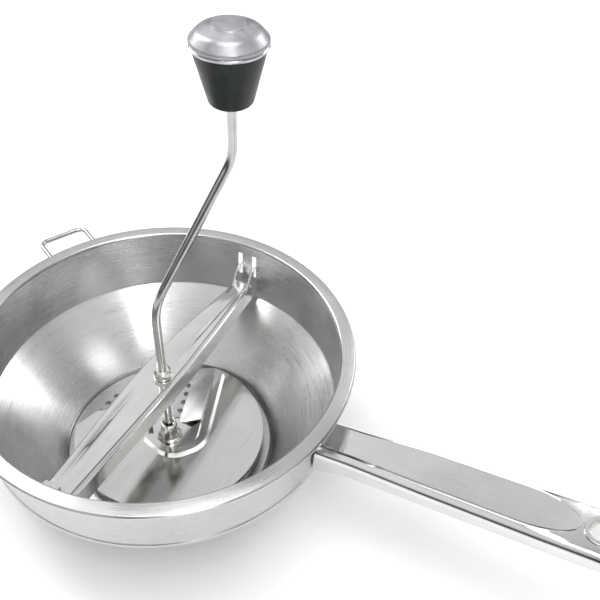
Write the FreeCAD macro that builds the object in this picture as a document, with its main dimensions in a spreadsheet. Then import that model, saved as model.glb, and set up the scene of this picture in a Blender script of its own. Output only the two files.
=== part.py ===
"""Hand-cranked rotary food mill (potato ricer), as a parametric FreeCAD document.

Frame: millimetres, +Z up, origin on the crank axis in the plane of the base ring,
long handle along +X, crossbar along Y.
"""
import FreeCAD
import Part
import math
import os
import re

import PartDesign
import Sketcher

from FreeCAD import Placement, Rotation, Vector

# --------------------------------------------------------------- dimensions
DIMENSIONS = {
    # bowl, drawn from one sheet
    "sheet": (0.9, "bowl sheet thickness"),
    "rim_height": (84.0, "base ring to the crest of the rim"),
    "rim_radius": (110.0, "outer edge of the rolled rim"),
    "wall_radius": (101.3, "inside of the upright wall under the rim"),
    "wall_draft": (1.3, "how much that wall narrows to its foot"),
    "wall_foot": (43.4, "height where the wall meets the bead"),
    "bead_step": (0.6, "how far the bead stands out of the wall"),
    "cone_radius": (98.7, "inside radius at the top of the cone"),
    "cone_top": (41.6, "height of the top of the cone"),
    "throat_radius": (62.3, "inside radius at the foot of the cone"),
    "throat_height": (5.3, "height of the foot of the cone"),
    "ledge_radius": (55.5, "inner edge of the ledge that carries the disc"),
    "ledge_top": (1.0, "top of that ledge"),
    # slots in the wall for the crossbar
    "tongue_slot_width": (11.0, "slot under the rim"),
    "tongue_slot_low": (73.0, "lower edge of that slot"),
    "tongue_slot_high": (76.4, "upper edge of that slot"),
    "prong_slot_gap": (3.6, "width of each upright slot"),
    "prong_slot_low": (60.0, "lower edge of the upright slots"),
    "prong_slot_high": (76.6, "upper edge of the upright slots"),
    # sieve disc
    "disc_radius": (61.6, "edge of the sieve disc"),
    "disc_sheet": (0.9, "sieve disc thickness"),
    "panel_radius": (55.0, "raised panel of the disc"),
    "panel_top": (3.7, "top of the raised panel"),
    "disc_bore": (8.5, "hole in the middle of the disc"),
    "sieve_hole": (1.8, "radius of one sieve hole"),
    "ring_pitch": (7.2, "distance between rings of holes"),
    "disc_turn": (106.0, "angle at which the disc lies"),
    # handle
    "wall_clear": (103.45, "radius that the handle root is cut to"),
    "handle_root": (100.0, "where the handle blank starts"),
    "handle_top": (66.4, "top of the handle at its root"),
    "handle_rise": (3.0, "angle of the handle above level"),
    "handle_sheet": (1.0, "handle sheet thickness"),
    "eyelet_place": (147.5, "hanging hole, along the handle"),
    "eyelet_bore": (5.5, "radius of the hanging hole"),
    "eyelet_wall": (0.8, "eyelet wall"),
    "eyelet_flange": (8.2, "radius of the eyelet's rolled edge"),
    "eyelet_edge": (0.6, "thickness of that edge"),
    "eyelet_high": (2.7, "upper edge's seat, above the root's level"),
    "eyelet_low": (-11.0, "lower edge's seat"),
    # handle bracket
    "bracket_inner": (102.2, "bracket plate's upper edge, face against the bowl"),
    "bracket_sheet": (0.9, "bracket plate thickness"),
    "bracket_slant": (1.0, "how much the plate follows the wall inwards"),
    "bracket_sweep": (44.0, "angle that the plate is bent round"),
    "bracket_low": (47.0, "lower edge of the bracket plate"),
    "bracket_high": (76.0, "upper edge of the bracket plate"),
    "bracket_half": (37.0, "half width of the plate at the top"),
    "bracket_taper": (17.0, "how much each side narrows to the bottom"),
    "tongue_width": (15.0, "tongue inside the handle"),
    "tongue_thick": (1.6, "tongue thickness"),
    "tongue_reach": (44.0, "length of the tongue"),
    "tongue_level": (58.4, "height of the tongue"),
    # support hooks
    "hook_wire": (1.5, "radius of the hook wire"),
    "hook_half": (15.0, "half width of a hook"),
    "hook_start": (101.2, "where a hook meets the wall"),
    "hook_reach": (133.5, "outer run of a hook"),
    "hook_corner": (5.0, "bend radius of a hook"),
    "hook_level": (75.0, "height of the hooks"),
    "hook_angle": (152.0, "direction of the hooks from the handle"),
    # crossbar
    "bar_top": (60.0, "top of the bar at the crank"),
    "bar_tilt": (2.0, "how much the tongue end is higher"),
    "bar_sheet": (1.2, "bar sheet thickness"),
    "bar_depth": (12.0, "depth of the channel"),
    "bar_near": (97.0, "tongue end of the channel"),
    "bar_far": (96.0, "prong end of the channel"),
    "bar_middle": (14.0, "half length of the wide middle"),
    "near_right": (7.7, "right edge at the tongue end"),
    "near_left": (9.0, "left edge at the tongue end"),
    "middle_right": (9.4, "right edge in the middle"),
    "middle_left": (14.6, "left edge in the middle"),
    "far_half": (5.6, "half width at the prong end"),
    "bar_bore": (4.15, "radius of the hole for the bush"),
    "bar_tongue_width": (9.0, "width of the tongue"),
    "bar_tongue_tip": (106.5, "where the tongue ends"),
    "bar_tongue_high": (12.0, "top of the tongue above the bar"),
    "prong_tip": (103.8, "where the prongs end"),
    "prong_low": (6.3, "underside of a prong's tip above the bar"),
    "prong_high": (10.5, "top of a prong above the bar"),
    # crank
    "rod_radius": (2.5, "radius of the crank rod"),
    "rod_foot": (1.3, "lower end of the rod"),
    "lower_bend": (114.5, "height of the lower bend"),
    "upper_bend": (188.5, "height of the upper bend"),
    "crank_arm": (53.0, "distance of the knob from the axis"),
    "lower_round": (38.0, "radius of the lower bend"),
    "upper_round": (26.0, "radius of the upper bend"),
    "rod_head": (252.6, "upper end of the rod"),
    "crank_angle": (63.5, "direction of the crank from the handle"),
    "flat_depth": (0.45, "depth of the two flats on the rod"),
    "flat_top": (37.7, "upper end of the flats"),
    # bush, collar, washers and spring on the crank
    "bush_bore": (2.57, "bore of the crank bush"),
    "bush_radius": (4.0, "outside of the bush"),
    "bush_flange": (5.2, "flange of the bush"),
    "bush_low": (57.6, "lower end of the bush"),
    "bush_high": (61.5, "top of the bush flange"),
    "flange_thick": (1.0, "thickness of the bush flange"),
    "collar_across": (9.0, "stop collar, across its flats"),
    "collar_low": (61.8, "underside of the stop collar"),
    "collar_high": (66.0, "top of the stop collar"),
    "washer_radius": (6.2, "outside of the spring washers"),
    "washer_bore": (2.75, "bore of the spring washers"),
    "washer_thick": (0.8, "thickness of the spring washers"),
    "upper_washer": (56.6, "underside of the upper washer"),
    "lower_washer": (40.0, "underside of the lower washer"),
    "spring_wire": (0.6, "radius of the spring wire"),
    "spring_radius": (4.2, "mean radius of the spring"),
    "spring_pitch": (2.45, "pitch of the spring"),
    "spring_low": (41.6, "centre of the lowest coil"),
    "spring_rise": (14.2, "height of the coil's centre line"),
    "clip_radius": (4.6, "outside of the spring clip"),
    "clip_low": (38.7, "underside of the spring clip"),
    "clip_thick": (1.1, "thickness of the spring clip"),
    # blade and hub
    "blade_radius": (57.5, "edge of the pressing blade"),
    "blade_sheet": (1.0, "blade thickness"),
    "blade_level": (10.0, "underside of the blade plate"),
    "well_level": (4.3, "underside of the well round the hub"),
    "well_radius": (14.0, "radius of the well"),
    "ramp_back": (-18.5, "where the ramp leaves the plate"),
    "ramp_edge": (-2.5, "wiping edge of the ramp"),
    "ramp_start": (11.0, "inner end of the ramp"),
    "wipe_gap": (0.1, "wiping edge above the sieve disc"),
    "blade_angle": (108.0, "direction of the ramp from the handle"),
    "rib_line": (20.5, "distance of the rib from the ramp's axis"),
    "rib_foot": (4.2, "half width of the rib at the plate"),
    "rib_crown": (2.2, "half width of its crown"),
    "rib_height": (2.2, "height of the rib above the plate"),
    "rib_end": (49.0, "outer end of the rib"),
    "rib_round": (12.0, "bend radius of the rib round the hub"),
    "mouth_round": (9.0, "rounded corner of the blade's open sector"),
    "hub_top": (18.5, "top of the hub"),
    "hub_mouth": (4.7, "radius of the hub at its top"),
    "hub_waist": (6.0, "radius of the hub above its foot"),
    "hub_foot": (7.4, "radius of the hub's foot"),
    "hub_base": (5.35, "underside of the hub's foot"),
    "spigot_radius": (4.6, "spigot that goes through the blade"),
    "spigot_low": (2.0, "lower end of the spigot"),
    "socket_radius": (3.4, "wide mouth of the hub's bore"),
    "socket_depth": (3.0, "depth of that mouth"),
    "ring_radius": (7.6, "swaged ring under the blade"),
    "ring_low": (2.2, "underside of that ring"),
    # knob
    "knob_low": (219.7, "underside of the knob"),
    "knob_seam": (248.2, "top of the black body"),
    "knob_small": (10.8, "radius of the body at the bottom"),
    "knob_large": (17.9, "radius of the body at the top"),
    "knob_edge": (2.6, "rounding of the body's lower edge"),
    "sleeve_bore": (2.57, "bore of the knob sleeve"),
    "sleeve_radius": (3.6, "outside of the knob sleeve"),
    "bead_low": (248.3, "underside of the bright ring"),
    "bead_high": (250.3, "top of the bright ring"),
    "bead_radius": (18.9, "outside of the bright ring"),
    "cap_radius": (18.9, "edge of the cap"),
    "cap_low": (250.4, "lower edge of the cap"),
    "cap_top": (259.2, "top of the cap"),
    "cap_wall": (1.4, "thickness of the cap"),
    "cap_flat": (8.5, "radius of the stepped flat on the cap"),
    "cap_step": (0.7, "height of that step"),
    "retainer_radius": (5.2, "push-on washer on the rod's end"),
    "retainer_low": (249.3, "underside of that washer"),
    "retainer_thick": (0.8, "thickness of that washer"),
}

doc = FreeCAD.newDocument("food_mill")
sheet = doc.addObject("Spreadsheet::Sheet", "dims")
for row, (alias, (size, note)) in enumerate(DIMENSIONS.items(), start=1):
    sheet.set(f"A{row}", alias)
    sheet.set(f"B{row}", str(size))
    sheet.set(f"C{row}", note)
    sheet.setAlias(f"B{row}", alias)
doc.recompute()

ALIAS = re.compile(r"\b(" + "|".join(DIMENSIONS) + r")\b")
nodes = []


# ------------------------------------------------------------------ helpers
def bound(text):
    """An expression in the sheet's words, written for another object."""
    return ALIAS.sub(r"dims.\1", str(text))


def size(text):
    """The number that an expression stands for now."""
    return float(sheet.evalExpression(bound(text)))


def bind(thing, **sizes):
    """Bind properties of one object to expressions of the sheet."""
    for name, text in sizes.items():
        thing.setExpression(name, bound(text))


def node(thing):
    """Keep an object as one sub-part of the mill."""
    nodes.append(thing)
    return thing


def new_body(label):
    body = doc.addObject("PartDesign::Body", label)
    body.Label = label
    return body


def new_sketch(body, plane, lift=None):
    """A sketch on one of the body's own planes, lifted along its normal."""
    sketch = body.newObject("Sketcher::SketchObject", body.Label + "_sketch")
    support = [f for f in body.Origin.OriginFeatures if f.Role == plane]
    sketch.AttachmentSupport = support
    sketch.MapMode = "FlatFace"
    if lift is not None:
        sketch.setExpression("AttachmentOffset.Base.z", bound(lift))
    return sketch


def hold(sketch, kind, *where, to):
    """Add one dimension and bind it to an expression."""
    index = sketch.addConstraint(Sketcher.Constraint(kind, *where, size(to)))
    sketch.setExpression(f"Constraints[{index}]", bound(to))


def hold_point(sketch, item, end, place):
    """Hold a point of the sketch at a pair of expressions."""
    for kind, text in zip(("DistanceX", "DistanceY"), place):
        hold(sketch, kind, -1, 1, item, end, to=text)


def chain(sketch, corners, closed=True, rounds=None):
    """Straight runs through the corners, with tangent arcs where rounds asks."""
    rounds = rounds or {}
    count = len(corners)
    bends = {}
    points = [Vector(size(x), size(y), 0) for x, y in corners]
    starts = list(points)
    ends = [points[(i + 1) % count] for i in range(count)]
    arcs = {}
    for i, radius in rounds.items():
        before = (points[i - 1] - points[i]).normalize()
        after = (points[(i + 1) % count] - points[i]).normalize()
        half = before.getAngle(after) / 2
        reach = size(radius) / math.tan(half)
        first = points[i] + before * reach
        last = points[i] + after * reach
        centre = points[i] + (before + after).normalize() * (size(radius) / math.sin(half))
        middle = centre + (points[i] - centre).normalize() * size(radius)
        arcs[i] = Part.Arc(first, middle, last)
        ends[i - 1] = first
        starts[i] = last
        turns_left = before.cross(after).z < 0
        bends[i] = (radius, turns_left)
    runs = count if closed else count - 1
    lines = [sketch.addGeometry(Part.LineSegment(starts[i], ends[i])) for i in range(runs)]
    for i in range(count):
        has_before = closed or i > 0
        has_after = closed or i < runs
        if i in arcs:
            radius, turns_left = bends[i]
            arc = sketch.addGeometry(arcs[i])
            corner = sketch.addGeometry(Part.Point(points[i]), True)
            enter, leave = (1, 2) if turns_left else (2, 1)
            previous = lines[i - 1]
            sketch.addConstraint(Sketcher.Constraint("Tangent", previous, 2, arc, enter))
            sketch.addConstraint(Sketcher.Constraint("Tangent", lines[i], 1, arc, leave))
            sketch.addConstraint(Sketcher.Constraint("PointOnObject", corner, 1, previous))
            sketch.addConstraint(Sketcher.Constraint("PointOnObject", corner, 1, lines[i]))
            hold(sketch, "Radius", arc, to=radius)
            hold_point(sketch, corner, 1, corners[i])
        elif has_before and has_after:
            sketch.addConstraint(Sketcher.Constraint("Coincident", lines[i - 1], 2, lines[i], 1))
            hold_point(sketch, lines[i], 1, corners[i])
        elif has_after:
            hold_point(sketch, lines[i], 1, corners[i])
        else:
            hold_point(sketch, lines[i - 1], 2, corners[i])
    return sketch


def circle(sketch, radius, x="0", y="0"):
    """A circle held by its centre and radius."""
    centre = Vector(size(x), size(y), 0)
    item = sketch.addGeometry(Part.Circle(centre, Vector(0, 0, 1), size(radius)))
    hold(sketch, "Radius", item, to=radius)
    hold_point(sketch, item, 3, (x, y))
    return sketch


def rectangle(sketch, left, low, right, high):
    return chain(sketch, [(left, low), (right, low), (right, high), (left, high)])


def feature(body, kind, sketch, **sizes):
    """Add a PartDesign feature of a sketch, with its sizes bound."""
    made = body.newObject(kind, body.Label + "_feature")
    made.Profile = sketch
    bind(made, **sizes)
    sketch.Visibility = False
    return made


def pad(body, sketch, length, both_ways=False):
    made = feature(body, "PartDesign::Pad", sketch, Length=length)
    made.Midplane = both_ways
    return made


def pocket(body, sketch, towards_normal=False, length=None):
    """Cut a sketch out of the body, right through unless a length is given."""
    before = volume(body)
    made = feature(body, "PartDesign::Pocket", sketch)
    if length is None:
        made.Type = "ThroughAll"
    else:
        bind(made, Length=length)
    made.Reversed = towards_normal
    if volume(body) >= before:
        raise RuntimeError(f"a pocket in {body.Label} cuts nothing")
    return made


def volume(body):
    doc.recompute()
    return body.Shape.Volume


def turned(label, corners, rounds=None):
    """A body turned about its Z axis from an outline of (radius, height)."""
    body = new_body(label)
    sketch = chain(new_sketch(body, "XZ_Plane"), corners, rounds=rounds)
    spin = feature(body, "PartDesign::Revolution", sketch)
    spin.ReferenceAxis = (sketch, ["V_Axis"])
    spin.Angle = 360
    return body


def ring(label, inner, outer, low, high):
    """A plain ring of rectangular section."""
    return turned(label, [(inner, low), (outer, low), (outer, high), (inner, high)])


def follow(body, profile, path):
    """Sweep a profile along an open path."""
    pipe = feature(body, "PartDesign::AdditivePipe", profile)
    doc.recompute()
    edges = [f"Edge{i + 1}" for i in range(len(path.Shape.Edges))]
    pipe.Spine = (path, edges)
    path.Visibility = False
    return pipe


def turn_about_z(thing, angle):
    """Stand a body at an angle round the crank axis."""
    thing.Placement = Placement(Vector(), Rotation(Vector(0, 0, 1), 0))
    thing.setExpression("Placement.Rotation.Angle", bound(angle))


# --------------------------------------------------------------------- bowl
def make_bowl():
    """One drawn sheet: rolled rim, upright wall, bead, cone, throat and ledge."""
    foot = "wall_radius - wall_draft"
    inside = [
        ("ledge_radius", "ledge_top"),
        ("throat_radius", "ledge_top"),
        ("throat_radius", "throat_height"),
        ("cone_radius", "cone_top"),
        (f"{foot} + bead_step", "wall_foot"),
        (f"{foot} + bead_step", "wall_foot + 1.2"),
        (foot, "wall_foot + 2"),
        ("wall_radius", "rim_height - 1.9"),
        ("wall_radius + 0.7", "rim_height"),
        ("rim_radius - 1.0", "rim_height - 0.6"),
        ("rim_radius", "rim_height - 1.5"),
        ("rim_radius", "rim_height - 2.9"),
        ("rim_radius - 1.7", "rim_height - 3.7"),
    ]
    outside = [
        ("rim_radius - 1.7", "rim_height - 2.8"),
        ("rim_radius - 0.9", "rim_height - 2.4"),
        ("rim_radius - 1.1", "rim_height - 1.5"),
        ("wall_radius + 2.2", "rim_height - 0.95"),
        ("wall_radius + sheet", "rim_height - 2.0"),
        (f"{foot} + sheet", "wall_foot + 2.2"),
        (f"{foot} + bead_step + sheet", "wall_foot + 1.6"),
        (f"{foot} + bead_step + sheet", "wall_foot + 0.2"),
        ("cone_radius + 0.6", "cone_top - 0.65"),
        ("throat_radius + sheet", "throat_height - 0.4"),
        ("throat_radius + sheet", "0"),
        ("ledge_radius", "0"),
    ]
    body = turned("bowl", inside + outside, rounds={8: "0.8", 21: "1.5"})
    tongue_slot = new_sketch(body, "XZ_Plane")
    rectangle(tongue_slot, "-tongue_slot_width / 2", "tongue_slot_low",
              "tongue_slot_width / 2", "tongue_slot_high")
    pocket(body, tongue_slot, towards_normal=True)
    for side in ("-1", "1"):
        prong_slot = new_sketch(body, "XZ_Plane")
        middle = f"{side} * (far_half - bar_sheet / 2)"
        rectangle(prong_slot, f"{middle} - prong_slot_gap / 2", "prong_slot_low",
                  f"{middle} + prong_slot_gap / 2", "prong_slot_high")
        pocket(body, prong_slot)
    return body


# --------------------------------------------------------------- sieve disc
HOLE_RINGS = range(2, 8)
HOLES_PER_RING = 6


def make_sieve_disc():
    """A flat margin and a raised panel, with rings of six times n holes."""
    body = turned("sieve_disc", [
        ("disc_bore", "panel_top - disc_sheet"),
        ("panel_radius - 0.6", "panel_top - disc_sheet"),
        ("panel_radius + 0.5", "ledge_top + 0.1"),
        ("disc_radius", "ledge_top + 0.1"),
        ("disc_radius", "ledge_top + 0.1 + disc_sheet"),
        ("panel_radius + 1.2", "ledge_top + 0.1 + disc_sheet"),
        ("panel_radius", "panel_top"),
        ("disc_bore", "panel_top"),
    ])
    axis = [f for f in body.Origin.OriginFeatures if f.Role == "Z_Axis"][0]
    for number in HOLE_RINGS:
        sketch = circle(new_sketch(body, "XY_Plane"), "sieve_hole", x=f"{number} * ring_pitch")
        hole = pocket(body, sketch, towards_normal=True)
        copies = body.newObject("PartDesign::PolarPattern", f"hole_ring_{number}")
        copies.Originals = [hole]
        copies.Axis = (axis, [""])
        copies.Angle = 360
        copies.Occurrences = HOLES_PER_RING * number
        body.Tip = copies
    turn_about_z(body, "disc_turn")
    return body


# ------------------------------------------------------------------- handle
# distance from the root, half width, depth, and rise of the top above the root's line
HANDLE_STATIONS = [(0, 13.0, 19.0, 0.0), (22, 13.2, 15.0, 1.0), (60, 15.0, 13.8, 2.4),
                   (120, 15.8, 13.0, 2.8), (158, 15.6, 11.6, 2.2), (166, 13.6, 9.2, 2.0)]
HOLLOW_MOUTH = (-1, 13.0, 19.0, 0.0)
TOP_CORNER = 2.6
BOTTOM_CORNER = 4.2


def handle_sections(body, stations, inset):
    """Rounded sections across the handle, each on its own plane."""
    sections = []
    for place, half, depth, rise in stations:
        side = f"{half} - {inset}"
        low = f"{rise} - {depth} + {inset}"
        high = f"{rise} - {inset}"
        corners = [(f"-({side})", low), (side, low), (side, high), (f"-({side})", high)]
        top = f"{TOP_CORNER} - {inset} * 0.6"
        bottom = f"{BOTTOM_CORNER} - {inset} * 0.6"
        section = new_sketch(body, "YZ_Plane", lift=str(place))
        chain(section, corners, rounds={0: bottom, 1: bottom, 2: top, 3: top})
        sections.append(section)
    return sections


def loft(body, kind, sections):
    made = feature(body, kind, sections[0])
    made.Sections = sections[1:]
    made.Ruled = False
    return made


def handle_frame():
    """Where the handle's root sits and how it rises."""
    place = Vector(size("handle_root"), 0, size("handle_top"))
    return Placement(place, Rotation(Vector(0, 1, 0), -size("handle_rise")))


def make_handle():
    """A hollow formed handle, its root trimmed to the curve of the wall."""
    blank = new_body("handle_blank")
    loft(blank, "PartDesign::AdditiveLoft", handle_sections(blank, HANDLE_STATIONS, "0"))
    inner = [HOLLOW_MOUTH] + HANDLE_STATIONS[1:-1]
    loft(blank, "PartDesign::SubtractiveLoft", handle_sections(blank, inner, "handle_sheet"))
    hole = circle(new_sketch(blank, "XY_Plane", lift="-30"), "eyelet_bore + eyelet_wall + 0.05",
                  x="eyelet_place")
    pocket(blank, hole, towards_normal=True)
    blank.Placement = handle_frame()
    wall = doc.addObject("Part::Cylinder", "wall_envelope")
    bind(wall, Radius="wall_clear", Height="rim_height")
    shell = doc.addObject("Part::Cut", "handle_shell")
    shell.Base = blank
    shell.Tool = wall
    return shell


def make_eyelet():
    """A tube through the hanging hole with both ends rolled over."""
    body = turned("hanging_eyelet", [
        ("eyelet_bore", "eyelet_low - eyelet_edge"),
        ("eyelet_flange", "eyelet_low - eyelet_edge"),
        ("eyelet_flange", "eyelet_low"),
        ("eyelet_bore + eyelet_wall", "eyelet_low"),
        ("eyelet_bore + eyelet_wall", "eyelet_high"),
        ("eyelet_flange", "eyelet_high"),
        ("eyelet_flange", "eyelet_high + eyelet_edge"),
        ("eyelet_bore", "eyelet_high + eyelet_edge"),
    ])
    along = Placement(Vector(size("eyelet_place"), 0, 0), Rotation())
    body.Placement = handle_frame().multiply(along)
    return body


def make_bracket():
    """A plate curved to the bowl, narrower below, with a tongue into the handle."""
    body = new_body("handle_bracket")
    section = new_sketch(body, "XZ_Plane")
    chain(section, [
        ("bracket_inner - bracket_slant", "bracket_low"),
        ("bracket_inner - bracket_slant + bracket_sheet", "bracket_low"),
        ("bracket_inner + bracket_sheet", "bracket_high"), ("bracket_inner", "bracket_high"),
    ])
    plate = feature(body, "PartDesign::Revolution", section)
    plate.ReferenceAxis = (section, ["V_Axis"])
    bind(plate, Angle="bracket_sweep")
    plate.Midplane = True
    narrow = "bracket_half - bracket_taper"
    for side in ("-", ""):
        corner = new_sketch(body, "YZ_Plane")
        chain(corner, [(f"{side}({narrow})", "bracket_low - 1"),
                       (f"{side}(bracket_half + 8)", "bracket_low - 1"),
                       (f"{side}(bracket_half + 8)", "bracket_high + 1"),
                       (f"{side}bracket_half", "bracket_high + 1")])
        pocket(body, corner, towards_normal=True)
    tongue = new_sketch(body, "YZ_Plane", lift="bracket_inner + 0.2")
    rectangle(tongue, "-tongue_width / 2", "tongue_level",
              "tongue_width / 2", "tongue_level + tongue_thick")
    pad(body, tongue, "tongue_reach")
    return body


def make_hook(label, angle):
    """A wire loop that stands out from under the rim."""
    body = new_body(label)
    path = chain(new_sketch(body, "XY_Plane"), [
        ("hook_start", "-hook_half"), ("hook_reach", "-hook_half"),
        ("hook_reach", "hook_half"), ("hook_start", "hook_half"),
    ], closed=False, rounds={1: "hook_corner", 2: "hook_corner"})
    section = circle(new_sketch(body, "YZ_Plane", lift="hook_start"), "hook_wire",
                     x="-hook_half")
    follow(body, section, path)
    turn_about_z(body, angle)
    body.setExpression("Placement.Base.z", bound("hook_level"))
    return body


# ----------------------------------------------------------------- crossbar
def bar_outline(sketch, inset, beyond):
    """The bar's plan: nearly straight on the right, bulging to the left at the crank."""
    near = f"-(bar_near + {beyond})"
    far = f"bar_far + {beyond}"
    return chain(sketch, [
        (f"near_right - {inset}", near), (f"middle_right - {inset}", "-bar_middle"),
        (f"middle_right - {inset}", "bar_middle"), (f"far_half - {inset}", far),
        (f"-(far_half - {inset})", far), (f"-(middle_left - {inset})", "bar_middle"),
        (f"-(middle_left - {inset})", "-bar_middle"), (f"-(near_left - {inset})", near),
    ])


def make_crossbar():
    """A channel pressed from sheet: tongue at one end, two prongs at the other."""
    body = new_body("crossbar")
    pad(body, bar_outline(new_sketch(body, "XY_Plane", lift="-bar_depth"), "0", "0"), "bar_depth")
    hollow = bar_outline(new_sketch(body, "XY_Plane", lift="-bar_depth - 1"), "bar_sheet", "5")
    pocket(body, hollow, towards_normal=True, length="bar_depth + 1 - bar_sheet")
    bore = circle(new_sketch(body, "XY_Plane", lift="-bar_depth"), "bar_bore")
    pocket(body, bore, towards_normal=True)
    tongue = new_sketch(body, "YZ_Plane")
    chain(tongue, [
        ("-bar_near + bar_sheet", "-0.2"), ("-bar_near + bar_sheet", "bar_tongue_high"),
        ("-bar_tongue_tip", "bar_tongue_high"),
        ("-bar_tongue_tip", "bar_tongue_high - bar_sheet"),
        ("-bar_near", "bar_tongue_high - bar_sheet"), ("-bar_near", "-0.2"),
    ])
    pad(body, tongue, "bar_tongue_width", both_ways=True)
    for side in ("-1", "1"):
        edge = f"{side} * (far_half - bar_sheet / 2)"
        prong = new_sketch(body, "YZ_Plane", lift=f"{edge} - bar_sheet / 2")
        chain(prong, [
            ("bar_far - 14", "-3"), ("bar_far - 0.5", "-3"), ("bar_far + 2.5", "prong_low"),
            ("prong_tip", "prong_low"), ("prong_tip", "prong_high"),
            ("bar_far + 0.5", "prong_high"), ("bar_far - 6", "0"),
        ])
        pad(body, prong, "bar_sheet")
    body.Placement = Placement(Vector(0, 0, size("bar_top")),
                               Rotation(Vector(1, 0, 0), -size("bar_tilt")))
    return body


# -------------------------------------------------------------------- crank
def make_crank_rod():
    """A round rod with two bends and two flats, standing in its own plane."""
    body = new_body("crank_rod")
    path = chain(new_sketch(body, "XZ_Plane"), [
        ("0", "rod_foot"), ("0", "lower_bend"), ("crank_arm", "upper_bend"),
        ("crank_arm", "rod_head"),
    ], closed=False, rounds={1: "lower_round", 2: "upper_round"})
    section = circle(new_sketch(body, "XY_Plane", lift="rod_foot"), "rod_radius")
    follow(body, section, path)
    for side in ("-1", "1"):
        flat = new_sketch(body, "XZ_Plane")
        face = f"{side} * (rod_radius - flat_depth)"
        edge = f"{side} * (rod_radius + 1)"
        rectangle(flat, face, "rod_foot - 1", edge, "flat_top")
        before = volume(body)
        cut = feature(body, "PartDesign::Pocket", flat, Length="rod_radius * 4")
        cut.Midplane = True
        if volume(body) >= before:
            raise RuntimeError("a flat on the rod cuts nothing")
    turn_about_z(body, "crank_angle")
    return body


def make_bush():
    """A flanged bearing bush in the crossbar."""
    return turned("crank_bush", [
        ("bush_bore", "bush_low"), ("bush_radius", "bush_low"),
        ("bush_radius", "bush_high - flange_thick"), ("bush_flange", "bush_high - flange_thick"),
        ("bush_flange", "bush_high"), ("bush_bore", "bush_high"),
    ])


def make_stop_collar():
    """A six-sided collar crimped on the rod above the bush."""
    prism = doc.addObject("Part::Prism", "collar_prism")
    prism.Polygon = 6
    bind(prism, Circumradius="collar_across / 1.732", Height="collar_high - collar_low")
    prism.Placement.Base = Vector(0, 0, size("collar_low"))
    dome = doc.addObject("Part::Cone", "collar_dome")
    bind(dome, Radius1="collar_across / 2 + 3.2", Radius2="collar_across / 2 - 1",
         Height="collar_high - collar_low")
    dome.Placement.Base = Vector(0, 0, size("collar_low"))
    rounded = doc.addObject("Part::Common", "collar_rounded")
    rounded.Base = prism
    rounded.Tool = dome
    bore = doc.addObject("Part::Cylinder", "collar_bore")
    bind(bore, Radius="rod_radius", Height="rim_height")
    collar = doc.addObject("Part::Cut", "crank_stop_collar")
    collar.Base = rounded
    collar.Tool = bore
    return collar


def make_spring():
    """A coil spring of round wire between the two washers."""
    path = doc.addObject("Part::Helix", "spring_path")
    bind(path, Pitch="spring_pitch", Height="spring_rise", Radius="spring_radius")
    wire = doc.addObject("Part::Circle", "spring_wire_section")
    bind(wire, Radius="spring_wire")
    wire.Placement = Placement(Vector(size("spring_radius"), 0, 0),
                               Rotation(Vector(1, 0, 0), 90))
    spring = doc.addObject("Part::Sweep", "compression_spring")
    spring.Sections = [wire]
    doc.recompute()
    spring.Spine = (path, [f"Edge{i + 1}" for i in range(len(path.Shape.Edges))])
    spring.Solid = True
    spring.Frenet = True
    spring.Placement.Base = Vector(0, 0, size("spring_low"))
    return spring


def make_clip():
    """An open clip that holds the lower washer up on the rod."""
    body = ring("spring_clip", "rod_radius", "clip_radius", "clip_low", "clip_low + clip_thick")
    mouth = rectangle(new_sketch(body, "XY_Plane"), "1", "-1.1", "clip_radius + 1", "1.1")
    pocket(body, mouth, towards_normal=True)
    return body


# -------------------------------------------------------------------- blade
# Plan outlines on the blade, with the ramp along the first axis.
BLADE_MOUTH = [("80", "ramp_back"), ("12", "ramp_back"), ("0", "-10"), ("7", "11"),
               ("9", "47"), ("-19", "66"), ("80", "80")]
WELL_GATE = [("0", "-9"), ("9", "-17"), ("30", "-17"), ("30", "20"), ("5", "20"), ("4", "9")]
RIB_RUN = [("-8", "11"), ("-19.5", "-5"), ("-8", "-rib_line - 1"), ("rib_end", "-rib_line")]


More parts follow.
